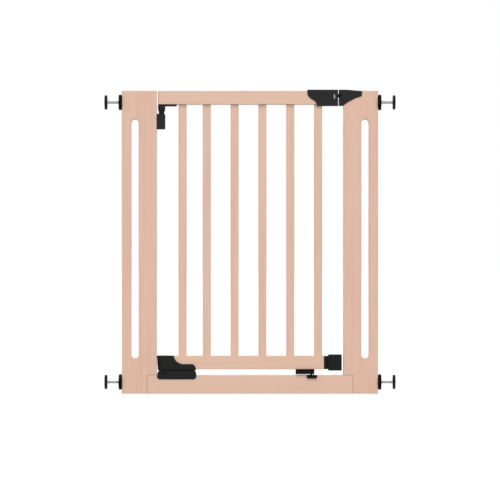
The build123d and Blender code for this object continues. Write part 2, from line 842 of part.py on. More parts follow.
# Latch, with its housing parted along the middle of the rail
with BuildPart() as latch_front_shell:
    latch_housing(latch_front_shell)
    split(bisect_by=Plane.XZ, keep=Keep.TOP)
keep(latch_front_shell, "latch_front_shell")

with BuildPart() as latch_rear_shell:
    latch_housing(latch_rear_shell)
    split(bisect_by=Plane.XZ, keep=Keep.BOTTOM)
keep(latch_rear_shell, "latch_rear_shell")

with BuildPart() as latch_screws:
    with Locations(*latch_screws_at):
        wood_screw()
keep(latch_screws, "latch_screws")

with BuildPart() as indicator_window:
    with BuildSketch(Plane.XZ.offset(half_housing)):
        with Locations((window_x, window_z)):
            SlotOverall(window_height, window_width, rotation=90)
    extrude(amount=-window_thickness)
keep(indicator_window, "indicator_window")

with BuildPart() as latch_bolt:
    with Locations((bolt_tail, 0, bolt_z)):
        Box(
            bolt_tip - bolt_tail,
            bolt_width,
            bolt_height,
            align=(Align.MIN, Align.CENTER, Align.CENTER),
        )
    chamfer(latch_bolt.faces().sort_by(Axis.X)[-1].edges(), bolt_tip_chamfer)
    with Locations(Plane((bolt_tail, 0, bolt_z), z_dir=(1, 0, 0))):
        Cylinder(
            bolt_spring_bore / 2,
            rail_right_end + bolt_spring_length - bolt_tail,
            align=stand,
            mode=Mode.SUBTRACT,
        )
    with Locations((slide_x, 0, bolt_z + bolt_height / 2)):
        Box(slide_stem_length, slide_stem_width, slide_foot_depth, align=hang, mode=Mode.SUBTRACT)
keep(latch_bolt, "latch_bolt")

with BuildPart() as bolt_spring:
    with Locations(Plane((rail_right_end, 0, bolt_z), z_dir=(1, 0, 0))):
        Cylinder(bolt_spring_diameter / 2, bolt_spring_length, align=stand)
        Cylinder(
            bolt_spring_diameter / 2 - bolt_spring_wire,
            bolt_spring_length,
            align=stand,
            mode=Mode.SUBTRACT,
        )
keep(bolt_spring, "bolt_spring")

with BuildPart() as thumb_slide:
    slide_bottom = housing_top - slide_thickness
    stem_bottom = bolt_z + bolt_height / 2 - slide_foot_depth
    with Locations((slide_x, 0, slide_bottom)):
        Box(slide_length, slide_width, slide_thickness, align=stand)
        Box(slide_stem_length, slide_stem_width, slide_bottom - stem_bottom, align=hang)
    with Locations((slide_x, 0, housing_top)):
        with GridLocations(slide_groove_pitch, 1, slide_groove_count, 1):
            Box(slide_groove_width, slide_width, slide_groove_depth, align=hang, mode=Mode.SUBTRACT)
keep(thumb_slide, "thumb_slide")

# Strike, a cap over the corner of the right post
with BuildPart() as strike:
    with BuildSketch(Plane.XZ):
        with BuildLine():
            Polyline(
                (strike_left + strike_foot, strike_bottom),
                (strike_left, strike_bottom),
                (strike_left, strike_top),
                (strike_left + strike_flat, strike_top),
                (strike_right, post_height - strike_cap_end_drop),
                (strike_right, post_height - strike_end_height),
            )
            SagittaArc(
                (strike_right, post_height - strike_end_height),
                (strike_left + strike_foot, strike_bottom),
                -strike_sag,
            )
        make_face()
    extrude(amount=half_strike, both=True)
    fillet(strike.faces().filter_by(Axis.Y).edges(), strike_edge)
    with Locations((post_inner, 0, 0)):
        Box(
            post_width,
            frame_thickness,
            post_height,
            align=(Align.MIN, Align.CENTER, Align.MIN),
            mode=Mode.SUBTRACT,
        )
    with Locations((strike_left, 0, bolt_z)):
        Box(
            post_inner - strike_left,
            bolt_width + 2 * pocket_clearance,
            bolt_height + 2 * pocket_clearance,
            align=(Align.MIN, Align.CENTER, Align.CENTER),
            mode=Mode.SUBTRACT,
        )
    with BuildSketch(Plane.XY.offset(bolt_z)):
        with BuildLine():
            Polyline(
                (strike_left, -half_strike),
                (strike_left + lead_in_length, -half_strike),
                (strike_left, lead_in_depth - half_strike),
                close=True,
            )
        make_face()
    extrude(amount=lead_in_height / 2, both=True, mode=Mode.SUBTRACT)
    with Locations(*strike_screws_at):
        wood_screw(Mode.SUBTRACT)
keep(strike, "strike")

with BuildPart() as strike_screws:
    with Locations(*strike_screws_at):
        wood_screw()
keep(strike_screws, "strike_screws")

# Lower end block
with BuildPart() as lower_end_block:
    with Locations((collar_right, 0, bottom_rail_bottom - block_drop)):
        Box(
            block_length,
            block_width,
            block_drop + rail_height + block_overhang,
            align=(Align.MIN, Align.CENTER, Align.MIN),
        )
    fillet(lower_end_block.edges(), block_edge)
    with Locations((rail_right_end, 0, bottom_rail_bottom + collar_block_rise)):
        Box(
            collar_block_length,
            rail_thickness - 2 * collar_block_inset,
            rail_height - collar_block_rise - collar_block_inset,
            align=(Align.MIN, Align.CENTER, Align.MIN),
        )
    with Locations((rail_right_end, 0, spigot_z)):
        Box(
            spigot_length,
            spigot_width,
            spigot_height,
            align=(Align.MAX, Align.CENTER, Align.MIN),
        )
    with Locations(*block_screws_at):
        wood_screw(Mode.SUBTRACT)
keep(lower_end_block, "lower_end_block")

with BuildPart() as end_block_screw:
    with Locations(*block_screws_at):
        wood_screw()
keep(end_block_screw, "end_block_screw")

# Flip stop
with BuildPart() as stop_base:
    with Locations((stop_left, stop_front, stop_bottom)):
        Box(stop_length, half_rail - stop_front, stop_height, align=(Align.MIN, Align.MIN, Align.MIN))
    fillet(stop_base.faces().sort_by(Axis.Y)[0].edges(), stop_edge)
    with Locations((flap_x, stop_front, stop_bottom)):
        Box(
            flap_barrel_width + 2 * flap_side_clearance,
            flap_barrel_diameter + flap_side_clearance,
            stop_height,
            align=(Align.CENTER, Align.MIN, Align.MIN),
            mode=Mode.SUBTRACT,
        )
    with Locations(Plane((stop_right, flap_axis_y, flap_axis_z), z_dir=(1, 0, 0))):
        Cylinder(stop_pin_diameter / 2, stop_pin_length, align=hang, mode=Mode.SUBTRACT)
    with Locations(*stop_screws_at):
        wood_screw(Mode.SUBTRACT)
keep(stop_base, "stop_base")

with BuildPart() as stop_screws:
    with Locations(*stop_screws_at):
        wood_screw()
keep(stop_screws, "stop_screws")

with BuildPart() as stop_pin:
    with Locations(Plane((stop_right, flap_axis_y, flap_axis_z), z_dir=(1, 0, 0))):
        Cylinder(stop_pin_diameter / 2, stop_pin_length, align=hang)
keep(stop_pin, "stop_pin")

with BuildPart() as stop_flap:
    with BuildSketch(Plane.XZ.offset(-flap_axis_y)) as tab:
        with Locations((flap_x + flap_offset, flap_axis_z - flap_tab_drop)):
            Rectangle(flap_tab_width, flap_tab_height, align=(Align.CENTER, Align.MAX))
        fillet(tab.vertices(), flap_tab_round)
        with Locations((flap_x, flap_axis_z)):
            Rectangle(flap_neck_width, flap_tab_drop + flap_tab_round, align=(Align.CENTER, Align.MAX))
    extrude(amount=flap_thickness / 2, both=True)
    with Locations((flap_x, flap_axis_y, flap_axis_z)):
        Cylinder(flap_barrel_diameter / 2, flap_barrel_width, rotation=(0, 90, 0))
        Cylinder(
            stop_pin_diameter / 2 + running_clearance,
            flap_barrel_width,
            rotation=(0, 90, 0),
            mode=Mode.SUBTRACT,
        )
keep(stop_flap, "stop_flap")
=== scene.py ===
import json
import math

import bmesh
import bpy
from mathutils import Matrix, Vector


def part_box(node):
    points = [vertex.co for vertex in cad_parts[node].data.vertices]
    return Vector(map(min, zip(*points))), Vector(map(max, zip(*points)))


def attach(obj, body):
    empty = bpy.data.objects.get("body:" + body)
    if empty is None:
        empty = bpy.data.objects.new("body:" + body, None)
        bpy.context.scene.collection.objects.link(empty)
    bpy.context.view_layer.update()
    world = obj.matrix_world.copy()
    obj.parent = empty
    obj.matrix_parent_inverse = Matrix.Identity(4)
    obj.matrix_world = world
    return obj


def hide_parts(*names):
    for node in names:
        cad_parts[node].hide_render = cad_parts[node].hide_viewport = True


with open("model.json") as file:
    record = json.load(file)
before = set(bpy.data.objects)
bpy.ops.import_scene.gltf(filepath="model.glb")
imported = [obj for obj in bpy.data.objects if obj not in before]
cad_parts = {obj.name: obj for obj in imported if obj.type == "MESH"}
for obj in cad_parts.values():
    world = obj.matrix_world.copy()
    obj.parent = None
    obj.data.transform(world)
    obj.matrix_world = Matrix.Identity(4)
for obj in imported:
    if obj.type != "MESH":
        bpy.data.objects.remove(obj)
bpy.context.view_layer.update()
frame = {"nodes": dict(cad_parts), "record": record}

MM = 0.001


# Shader maths

class Shade:
    """An output of a material's nodes. Arithmetic on it adds Math nodes."""

    def __init__(self, tree, socket=None):
        self.tree = tree
        self.socket = socket

    def node(self, kind, settings=None, inputs=None, out=0):
        """Add one node: its settings come first, then the values or links of its inputs."""
        made = self.tree.nodes.new("ShaderNode" + kind)
        for name, setting in (settings or {}).items():
            if name == "stops":
                stops = made.color_ramp.elements
                while len(stops) < len(setting):
                    stops.new(1.0)
                for stop, (place, level) in zip(stops, setting):
                    stop.position = place
                    stop.color = grey(level)
            else:
                setattr(made, name, setting)
        for name, value in (inputs or {}).items():
            if isinstance(value, Shade):
                self.tree.links.new(value.socket, made.inputs[name])
            else:
                made.inputs[name].default_value = value
        return Shade(self.tree, made.outputs[out] if made.outputs else None)

    def math(self, operation, *terms):
        return self.node("Math", {"operation": operation}, dict(enumerate(terms)))

    def __add__(self, other):
        return self.math("ADD", self, other)

    def __sub__(self, other):
        return self.math("SUBTRACT", self, other)

    def __rsub__(self, other):
        return self.math("SUBTRACT", other, self)

    def __mul__(self, other):
        return self.math("MULTIPLY", self, other)

    def __truediv__(self, other):
        return self.math("DIVIDE", self, other)

    def __rtruediv__(self, other):
        return self.math("DIVIDE", other, self)

    def __gt__(self, other):
        return self.math("GREATER_THAN", self, other)

    def __lt__(self, other):
        return self.math("LESS_THAN", self, other)

    __radd__ = __add__
    __rmul__ = __mul__

    def fraction(self):
        return self.math("FRACT", self)

    def limited(self):
        """This value kept between nothing and one."""
        return self.node("Clamp", None, {"Value": self})

    def ramp(self, *stops):
        """A grey level for this value, from stops of (value, level)."""
        return self.node("ValToRGB", {"stops": stops}, {"Fac": self})

    def tint(self, start, end):
        """A colour between two others, by this value."""
        inputs = {"Factor": self, 6: start, 7: end}
        return self.node("Mix", {"data_type": "RGBA"}, inputs, 2)

    def stretched(self, *scale):
        return self.node("Mapping", None, {"Vector": self, "Scale": scale})

    def noise(self, scale=1.0, detail=2.0, roughness=0.5):
        inputs = {"Vector": self, "Scale": scale, "Detail": detail, "Roughness": roughness}
        return self.node("TexNoise", None, inputs)

    def dot(self, other):
        return self.node("VectorMath", {"operation": "DOT_PRODUCT"}, {0: self, 1: other}, "Value")

    def up(self):
        """The height part of this place."""
        return self.node("SeparateXYZ", None, {"Vector": self}, "Z")


def colour(red, green, blue):
    return (red, green, blue, 1.0)


def grey(level):
    return colour(level, level, level)


WHITE = grey(1.0)


def node_maker(owner):
    """Clear the nodes of a material or a world and give the maker of new ones."""
    owner.use_nodes = True
    owner.node_tree.nodes.clear()
    return Shade(owner.node_tree)


def new_finish(name):
    """An empty material, its node maker and its object coordinates."""
    material = bpy.data.materials.new(name)
    maker = node_maker(material)
    return material, maker, maker.node("TexCoord", None, None, "Object")


def finish_material(material, maker, inputs, height, depth):
    """Close a material with its shader; height is a relief of a depth in metres."""
    inputs["Normal"] = maker.node("Bump", None, {"Height": height, "Distance": depth})
    shader = maker.node("BsdfPrincipled", None, inputs)
    maker.node("OutputMaterial", None, {"Surface": shader})
    return material


OPEN_FACE = 0.92
EDGE_GAIN = 3.0


def occlusion_shade(maker, reach, gain):
    """Ambient-occlusion shade for painting into a colour: up to one deep in a joint or corner, and
    nothing on open faces.
    """
    open_sky = maker.node("AmbientOcclusion", {"samples": 8}, {"Distance": reach}, "AO")
    return ((OPEN_FACE - open_sky) * gain).limited()


def worn_edge(maker, radius):
    """Up to one along sharp edges, and nothing on flat faces."""
    soft = maker.node("Bevel", {"samples": 6}, {"Radius": radius})
    sharp = maker.node("NewGeometry", None, None, "Normal")
    return ((1.0 - soft.dot(sharp)) * EDGE_GAIN).limited()


# Beech

UPRIGHT = (0.0, 0.0, 0.0)
LEVEL = (0.0, math.pi / 2, 0.0)
LENGTH_AXIS = {UPRIGHT: (0, 0, 1), LEVEL: (1, 0, 0)}
RING_SPACING = 3.6 * MM
RING_SWAY = 34 * MM
RING_RIPPLE = 1.6 * MM
JOINT_SHADE_REACH = 1.5 * MM
RAIL_SHADOW_REACH = 13 * MM
FIBRE_RELIEF = 0.05 * MM
PINK_BEECH = colour(0.702, 0.428, 0.334)
YELLOW_BEECH = colour(0.752, 0.526, 0.398)
LATE_WOOD = colour(0.645, 0.386, 0.286)
PALE_FIBRE = colour(0.766, 0.534, 0.422)
RAY_FLECK = colour(0.46, 0.245, 0.165)
END_GRAIN = colour(0.36, 0.19, 0.125)
PAINTED_JOINT_SHADE = colour(0.07, 0.036, 0.023)
PAINTED_RAIL_SHADOW = colour(0.11, 0.066, 0.05)


def growth_rings(maker, grain):
    """Pale early wood that darkens to late wood in each year's ring round the heart."""
    sway = grain.stretched(9, 9, 1.6).noise(detail=3.0)
    ripple = grain.stretched(60, 60, 7).noise()
    flat = maker.node("VectorMath", {"operation": "MULTIPLY"}, {0: grain, 1: (1, 1, 0)})
    radius = maker.node("VectorMath", {"operation": "LENGTH"}, {0: flat}, "Value")
    ring = (radius + sway * RING_SWAY + ripple * RING_RIPPLE) / RING_SPACING
    return ring.fraction().ramp((0.0, 0.25), (0.55, 0.42), (0.9, 1.0), (1.0, 0.25))


def ray_flecks(maker, grain):
    """Short dark flecks along the grain, in about half of their cells."""
    cells = {"Vector": grain.stretched(1150, 1150, 260), "Scale": 1.0, "Randomness": 1.0}
    near = maker.node("TexVoronoi", None, cells, "Distance")
    pick = maker.node("TexVoronoi", None, cells, "Color")
    return (1.0 - near * 3.4).limited() * (pick > 0.52)


def end_grain(maker, grain, late, turn):
    """Darker rings and pores where a board is cut across."""
    lengthwise = maker.node("TexCoord", None, None, "Normal").dot(LENGTH_AXIS[turn])
    across = (lengthwise * lengthwise * 2.2 - 1.1).limited()
    pores = grain.stretched(1500, 1500, 300).noise(roughness=0.7)
    return across * (0.16 + late * 0.5 + pores * 0.3)


def beech(name, turn, heart, pale, joint_shade, is_bar=False):
    """Clear-lacquered beech, where turn and heart place the tree that a board was cut from.

    A pale board is yellower, its joints and the places where parts touch get painted shade, and a bar
    gets a painted shadow under the top rail.
    """
    material, maker, place = new_finish(name)
    grain = maker.node("Mapping", None, {"Vector": place, "Rotation": turn, "Location": heart})
    late = growth_rings(maker, grain)
    fleck = ray_flecks(maker, grain)
    streak = grain.stretched(75, 75, 3.2).noise(detail=4.0, roughness=0.6)
    fibre = grain.stretched(900, 900, 16).noise(detail=3.0, roughness=0.65)
    wood = (streak * 2.4 - 0.7 + pale).limited().tint(PINK_BEECH, YELLOW_BEECH)
    wood = (late * 0.46).tint(wood, LATE_WOOD)
    wood = ((fibre - 0.5) * 0.9 + 0.16).limited().tint(wood, PALE_FIBRE)
    wood = (fleck * 0.4).tint(wood, RAY_FLECK)
    wood = end_grain(maker, grain, late, turn).tint(wood, END_GRAIN)
    # Painted shade in the joints and wherever parts touch, from ambient occlusion
    wood = (occlusion_shade(maker, JOINT_SHADE_REACH, 4.0) * joint_shade).tint(wood, PAINTED_JOINT_SHADE)
    if is_bar:
        # Painted shadow of the top rail on a bar: darkest just under the rail and gone 13 mm below it
        rail_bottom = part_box("leaf_top_rail")[0][2]
        below = (rail_bottom - place.up()) / RAIL_SHADOW_REACH
        corner = below.ramp((0.0, 0.42), (0.25, 0.33), (0.45, 0.235), (0.66, 0.1), (1.0, 0.0))
        wood = corner.tint(wood, PAINTED_RAIL_SHADOW)
    inputs = {
        "Base Color": wood,
        "Roughness": 0.40 + fibre * 0.16 + late * 0.05,
        "Specular IOR Level": 0.24,
        "Coat Roughness": 0.34,
        "Coat Weight": 0.06,
    }
    return finish_material(material, maker, inputs, fibre * 0.6 - fleck * 0.5, FIBRE_RELIEF)


# Plastic, steel, rubber and lens

def moulded_plastic(name, shade, dullness, shine=0.16):
    """Black plastic with a spark-eroded mould texture, edges rubbed a little paler and shade painted
    into its recesses.
    """
    material, maker, place = new_finish(name)
    cloud = place.noise(22.0, 3.0)
    pebble_cells = {"Vector": place, "Scale": 1500.0}
    pebble = maker.node("TexVoronoi", {"feature": "SMOOTH_F1"}, pebble_cells, "Distance")
    grit = place.noise(2600.0, 2.0, 0.6)
    edge = worn_edge(maker, 0.7 * MM) * (0.35 + cloud * 0.9)
    scuff = place.stretched(260, 260, 900).noise(detail=3.0, roughness=0.7)
    recess_shade = occlusion_shade(maker, 6 * MM, 3.5)
    low = colour(shade * 0.84, shade * 0.85, shade * 0.84)
    high = colour(shade * 1.2, shade * 1.22, shade * 1.2)
    rubbed = colour(shade * 2.1, shade * 2.12, shade * 2.1)
    body = (cloud * 0.6 + grit * 0.4).tint(low, high)
    body = (edge * 0.5).limited().tint(body, rubbed)
    # Painted shade in recesses and where parts touch, from ambient occlusion
    body = recess_shade.tint(body, grey(shade * 0.1))
    inputs = {
        "Base Color": body,
        "Roughness": dullness + scuff * 0.14 + grit * 0.05 - edge * 0.06 + recess_shade * 0.35,
        "Specular IOR Level": shine,
    }
    return finish_material(material, maker, inputs, pebble * 0.7 + grit * 0.3, 0.045 * MM)


LINES_ACROSS = 1600.0
LINES_ALONG = 60.0


def plated_steel(name, shade, along, metal):
    """Zinc-plated steel with faint drawing lines along one axis; a dull plating is less of a metal."""
    material, maker, place = new_finish(name)
    lines = [LINES_ACROSS] * 3
    lines[along] = LINES_ALONG
    drawn = place.stretched(*lines).noise(detail=3.0, roughness=0.6)
    bloom = place.noise(140.0, 4.0, 0.6)
    low = colour(shade * 0.82, shade * 0.82, shade * 0.83)
    high = colour(shade * 1.1, shade * 1.1, shade * 1.13)
    plate = (drawn * 0.5 + bloom * 0.5).tint(low, high)
    # Painted shade in thread roots and recesses, from ambient occlusion
    plate = (occlusion_shade(maker, 0.7 * MM, 2.0) * 0.5).tint(plate, colour(0.05, 0.047, 0.043))
    inputs = {
        "Base Color": plate,
        "Metallic": metal,
        "Roughness": 0.22 + bloom * 0.16 + drawn * 0.1,
    }
    return finish_material(material, maker, inputs, drawn, 0.012 * MM)


def black_rubber(name):
    """Matt rubber with a dusty bloom."""
    material, maker, place = new_finish(name)
    bloom = place.noise(90.0, 4.0, 0.6)
    inputs = {
        "Base Color": bloom.tint(grey(0.005), colour(0.013, 0.0127, 0.0124)),
        "Roughness": 0.72 + bloom * 0.16,
        "Specular IOR Level": 0.14,
    }
    return finish_material(material, maker, inputs, place.noise(1900.0), 0.03 * MM)


def lacquered_steel(name):
    """Satin black lacquer that has thinned along the edges."""
    material, maker, place = new_finish(name)
    cloud = place.noise(260.0, 3.0)
    edge = worn_edge(maker, 0.5 * MM) * cloud
    inputs = {
        "Base Color": edge.tint(colour(0.008, 0.008, 0.009), colour(0.09, 0.09, 0.095)),
        "Metallic": edge * 0.6,
        "Roughness": 0.36 + cloud * 0.16,
        "Specular IOR Level": 0.18,
    }
    return finish_material(material, maker, inputs, cloud, 0.01 * MM)


def tinted_lens(name):
    """Pale green plastic with light painted into its colour: darkest at the bottom of the lens and
    palest a little below its middle.
    """
    material, maker, place = new_finish(name)
    cloud = place.noise(420.0)
    low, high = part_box("indicator_window")
    share = (place.up() - low[2]) / (high[2] - low[2])
    # Painted light, by height in the window
    glow = share.ramp((0.0, 0.06), (0.2, 0.28), (0.45, 0.66), (0.7, 0.5), (1.0, 0.4))
    painted_lens_light = (glow * (0.75 + cloud * 0.5)).limited()
    inputs = {
        "Base Color": painted_lens_light.tint(colour(0.035, 0.045, 0.02), colour(0.60, 0.66, 0.46)),
        "Roughness": 0.16 + cloud * 0.1,
        "Coat Weight": 0.6,
        "Coat Roughness": 0.06,
    }
    return finish_material(material, maker, inputs, cloud, 0.02 * MM)


# Making pieces

WELD = 0.0005 * MM
THREAD_WELD = 0.01 * MM


def new_object(name, data):
    """Put a mesh, a lamp or a lens into the scene."""
    made = bpy.data.objects.new(name, data)
    bpy.context.scene.collection.objects.link(made)
    return made


def mesh_of(name, shape):
    """A mesh made from a bmesh, which is used up."""
    mesh = bpy.data.meshes.new(name)
    shape.to_mesh(mesh)
    shape.free()
    return mesh


def new_piece(name, shape, finish, body, stands_for, smooth_degrees):
    """Turn a finished bmesh into an object that rides on a body in place of a node."""
    bmesh.ops.remove_doubles(shape, verts=shape.verts, dist=WELD)
    bmesh.ops.recalc_face_normals(shape, faces=shape.faces)
    mesh = mesh_of(name, shape)
    mesh.set_sharp_from_angle(angle=math.radians(smooth_degrees))
    mesh.materials.append(finish)
    piece = new_object(name, mesh)
    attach(piece, body)
    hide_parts(stands_for)


def corners(node):
    """A node's lowest and highest corners."""
    return [Vector(corner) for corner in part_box(node)]


def everything(shape):
    return shape.verts[:] + shape.edges[:] + shape.faces[:]


def start_line(shape, points):
    """An open profile of (radius, height) points beside the Z axis."""
    start = [shape.verts.new((radius, 0, height)) for radius, height in points]
    return start + [shape.edges.new(pair) for pair in zip(start, start[1:])]


def spun_profile(points, steps):
    """Spin a profile of (radius, height) points round Z into a closed solid."""
    shape = bmesh.new()
    bmesh.ops.spin(
        shape,
        geom=start_line(shape, points),
        cent=(0, 0, 0),
        axis=(0, 0, 1),
        angle=math.tau,
        steps=steps,
        use_merge=True,
    )
    return shape


def thread(pitch, crest, root, low, high, steps):
    """A screw thread round Z, cut square at both ends."""
    shape = bmesh.new()
    # Where the crest and the root begin and end, as shares of a pitch
    one_turn = [(crest, 0.0), (crest, 0.13), (root, 0.47), (root, 0.66), (crest, 1.0)]
    profile = [(radius, low + (share - 1) * pitch) for radius, share in one_turn]
    turns = math.ceil((high - low) / pitch) + 2
    bmesh.ops.spin(
        shape,
        geom=start_line(shape, profile),
        cent=(0, 0, 0),
        axis=(0, 0, 1),
        dvec=(0, 0, pitch / steps),
        angle=turns * math.tau,
        steps=turns * steps,
    )
    bmesh.ops.remove_doubles(shape, verts=shape.verts, dist=THREAD_WELD)
    for height, side in ((low, -1), (high, 1)):
        bmesh.ops.bisect_plane(
            shape,
            geom=everything(shape),
            plane_co=(0, 0, height),
            plane_no=(0, 0, side),
            clear_outer=True,
        )
    rims = [edge for edge in shape.edges if edge.is_boundary]
    bmesh.ops.holes_fill(shape, edges=rims, sides=0)
    return shape


def joined(*shapes):
    """One bmesh made of several, which are used up."""
    whole = bmesh.new()
    carrier = bpy.data.meshes.new("carrier")
    for shape in shapes:
        shape.to_mesh(carrier)
        shape.free()
        whole.from_mesh(carrier)
    bpy.data.meshes.remove(carrier)
    return whole


def pointing(origin, direction):
    """A placement whose Z axis points along a direction from an origin."""
    turn = Vector((0, 0, 1)).rotation_difference(Vector(direction)).to_matrix().to_4x4()
    return Matrix.Translation(Vector(origin)) @ turn


def place_shape(shape, placement):
    bmesh.ops.transform(shape, matrix=placement, verts=shape.verts)


def pull_rim(shape, rim, radius_share, drop):
    """Extrude an open rim round Z to a share of its radius and down by a drop."""
    made = bmesh.ops.extrude_edge_only(shape, edges=rim)["geom"]
    points = [item for item in made if isinstance(item, bmesh.types.BMVert)]
    bmesh.ops.scale(shape, vec=(radius_share, radius_share, 1), verts=points)
    bmesh.ops.translate(shape, vec=(0, 0, -drop), verts=points)
    return [item for item in made if isinstance(item, bmesh.types.BMEdge)]


# Screws

HEAD_RADIUS = 3.5 * MM
HEAD_DEPTH = 1.8 * MM
HEAD_SIDES = 32
SHANK_RADIUS = 1.2 * MM
SCREW_LENGTH = 20 * MM
POINT_LENGTH = 4 * MM
POINT_SHARE = 0.1
SCREW_PITCH = 1.6 * MM
SCREW_CREST = 1.75 * MM
SCREW_ROOT = 1.08 * MM
SCREW_THREAD_FROM = 4 * MM
SCREW_THREAD_TO = 17 * MM
SCREW_THREAD_STEPS = 12
RECESS_REACH = 1.9 * MM
RECESS_HALF_WIDTH = 0.42 * MM
RECESS_DEPTH = 1.2 * MM
RECESS_TAPER = 0.72
FIRST_SCREW_TURN = 0.5
NEXT_SCREW_TURN = 0.7


def cross_recess(shape):
    """Sink a tapered cross into the flat head round Z."""
    for cut in (-RECESS_REACH, -RECESS_HALF_WIDTH, RECESS_HALF_WIDTH, RECESS_REACH):
        for axis in (Vector((1, 0, 0)), Vector((0, 1, 0))):
            bmesh.ops.bisect_plane(shape, geom=everything(shape), plane_co=axis * cut, plane_no=axis)
    recess = []
    for face in shape.faces:
        across, along = sorted(abs(share) for share in face.calc_center_median()[:2])
        if across < RECESS_HALF_WIDTH and along < RECESS_REACH:
            recess.append(face)
    sunk = bmesh.ops.extrude_face_region(shape, geom=recess)["geom"]
    floor_points = [item for item in sunk if isinstance(item, bmesh.types.BMVert)]
    bmesh.ops.delete(shape, geom=recess, context="FACES_ONLY")
    bmesh.ops.scale(shape, vec=(RECESS_TAPER, RECESS_TAPER, 1), verts=floor_points)
    bmesh.ops.translate(shape, vec=(0, 0, -RECESS_DEPTH), verts=floor_points)


def countersunk_screw():
    """A wood screw under Z 0 with a cross recess in its head."""
    shape = bmesh.new()
    bmesh.ops.create_circle(shape, cap_ends=True, segments=HEAD_SIDES, radius=HEAD_RADIUS)
    cross_recess(shape)
    rim = [edge for edge in shape.edges if edge.is_boundary]
    rim = pull_rim(shape, rim, SHANK_RADIUS / HEAD_RADIUS, HEAD_DEPTH)
    rim = pull_rim(shape, rim, 1.0, SCREW_LENGTH - POINT_LENGTH - HEAD_DEPTH)
    rim = pull_rim(shape, rim, POINT_SHARE, POINT_LENGTH)
    bmesh.ops.holes_fill(shape, edges=rim, sides=0)
    low, high = -SCREW_THREAD_TO, -SCREW_THREAD_FROM
    return joined(shape, thread(SCREW_PITCH, SCREW_CREST, SCREW_ROOT, low, high, SCREW_THREAD_STEPS))


def screw_row(node, direction, count):
    """Seats for one or two screw heads, on the side of a node that the direction points to."""
    low, high = corners(node)
    middle = (low + high) / 2
    axis = max(range(3), key=lambda i: abs(direction[i]))
    middle[axis] = high[axis] if direction[axis] > 0 else low[axis]
    if count == 1:
        return [middle]
    spread = max((i for i in range(3) if i != axis), key=lambda i: high[i] - low[i])
    seats = [middle.copy(), middle.copy()]
    seats[0][spread] = low[spread] + HEAD_RADIUS
    seats[1][spread] = high[spread] - HEAD_RADIUS
    return seats


def add_screws(node, body, seats):
    """Stand countersunk screws in for a node, each with its head on a seat."""
    screws = []
    for count, (seat, direction) in enumerate(seats):
        screw = countersunk_screw()
        driven = Matrix.Rotation(FIRST_SCREW_TURN + count * NEXT_SCREW_TURN, 4, "Z")
        place_shape(screw, pointing(seat, direction) @ driven)
        screws.append(screw)
    name = "cross_" + node
    shape = joined(*screws)
    new_piece(name, shape, fastener_steel, body, node, smooth_degrees=30)


# Spindles

ROD_PITCH = 1.25 * MM
ROD_ROOT = 3.35 * MM
ROD_THREAD_STEPS = 20
FACING_CHAMFER = 0.5 * MM
FACING_SIDES = 64
RING_COUNT = 5
OUTER_RING = 16.2 * MM
RING_STEP = 3 * MM
GROOVE_MOUTH = 0.7 * MM
GROOVE_FLOOR = 0.3 * MM
GROOVE_DEPTH = 0.7 * MM


def threaded_rod(end):
    """A spindle's rod with its screw thread."""
    node = f"spindle_rod_{end}"
    low, high = corners(node)
    radius = (high.z - low.z) / 2
    shape = thread(ROD_PITCH, radius, ROD_ROOT, 0, high.x - low.x, ROD_THREAD_STEPS)
    place_shape(shape, pointing((low.x, 0, low.z + radius), (1, 0, 0)))
    name = f"threaded_rod_{end}"
    body = f"spindle_{end}"
    new_piece(name, shape, spindle_steel, body, node, smooth_degrees=40)


def ringed_facing(end):
    """A pad's rubber facing, with rings in the face that grips the wall."""
    node = f"pad_rubber_{end}"
    low, high = corners(node)
    radius = (high.z - low.z) / 2
    thick = high.x - low.x
    outline = [(0, 0), (radius, 0), (radius, thick - FACING_CHAMFER), (radius - FACING_CHAMFER, thick)]
    for ring in range(RING_COUNT):
        middle = OUTER_RING - ring * RING_STEP
        outline += [
            (middle + GROOVE_MOUTH, thick),
            (middle + GROOVE_FLOOR, thick - GROOVE_DEPTH),
            (middle - GROOVE_FLOOR, thick - GROOVE_DEPTH),
            (middle - GROOVE_MOUTH, thick),
        ]
    outline.append((0, thick))
    shape = spun_profile(outline, FACING_SIDES)
    outward = 1 if low.x > 0 else -1
    seat = low.x if outward > 0 else high.x
    place_shape(shape, pointing((seat, 0, low.z + radius), (outward, 0, 0)))
    name = f"ringed_facing_{end}"
    new_piece(name, shape, pad_rubber, f"spindle_{end}", node, smooth_degrees=35)


# Upper hinge rivet

RIVET_SHANK = 2.5 * MM
RIVET_HEAD = 1 * MM
RIVET_BORE = 1.6 * MM
RIVET_BORE_DEPTH = 1.6 * MM
RIVET_SIDES = 40
# The rolled rim in millimetres: how far from the axis, or in from the head's edge, and how deep
RIM_FROM_AXIS = [(1.7, 0.5), (2.2, 0.1), (2.9, 0.0)]
RIM_FROM_EDGE = [(1.2, 0.2), (0.3, 0.6)]


def hollow_rivet():
    """The tubular rivet through the upper hinge, with a rolled rim at each end."""
    node = "hinge_cross_rivet"
    low, high = corners(node)
    half = (high.y - low.y) / 2
    radius = (high.z - low.z) / 2
    one_end = [(0, half - RIVET_BORE_DEPTH), (RIVET_BORE, half - RIVET_BORE_DEPTH)]
    one_end += [(out * MM, half - depth * MM) for out, depth in RIM_FROM_AXIS]
    one_end += [(radius - inset * MM, half - depth * MM) for inset, depth in RIM_FROM_EDGE]
    one_end += [(radius, half - RIVET_HEAD), (RIVET_SHANK, half - RIVET_HEAD)]
    other_end = [(out, -height) for out, height in reversed(one_end)]
    shape = spun_profile(one_end + other_end, RIVET_SIDES)
    place_shape(shape, pointing(((low.x + high.x) / 2, 0, (low.z + high.z) / 2), (0, 1, 0)))
    new_piece("hollow_rivet", shape, black_steel, "leaf", node, smooth_degrees=35)
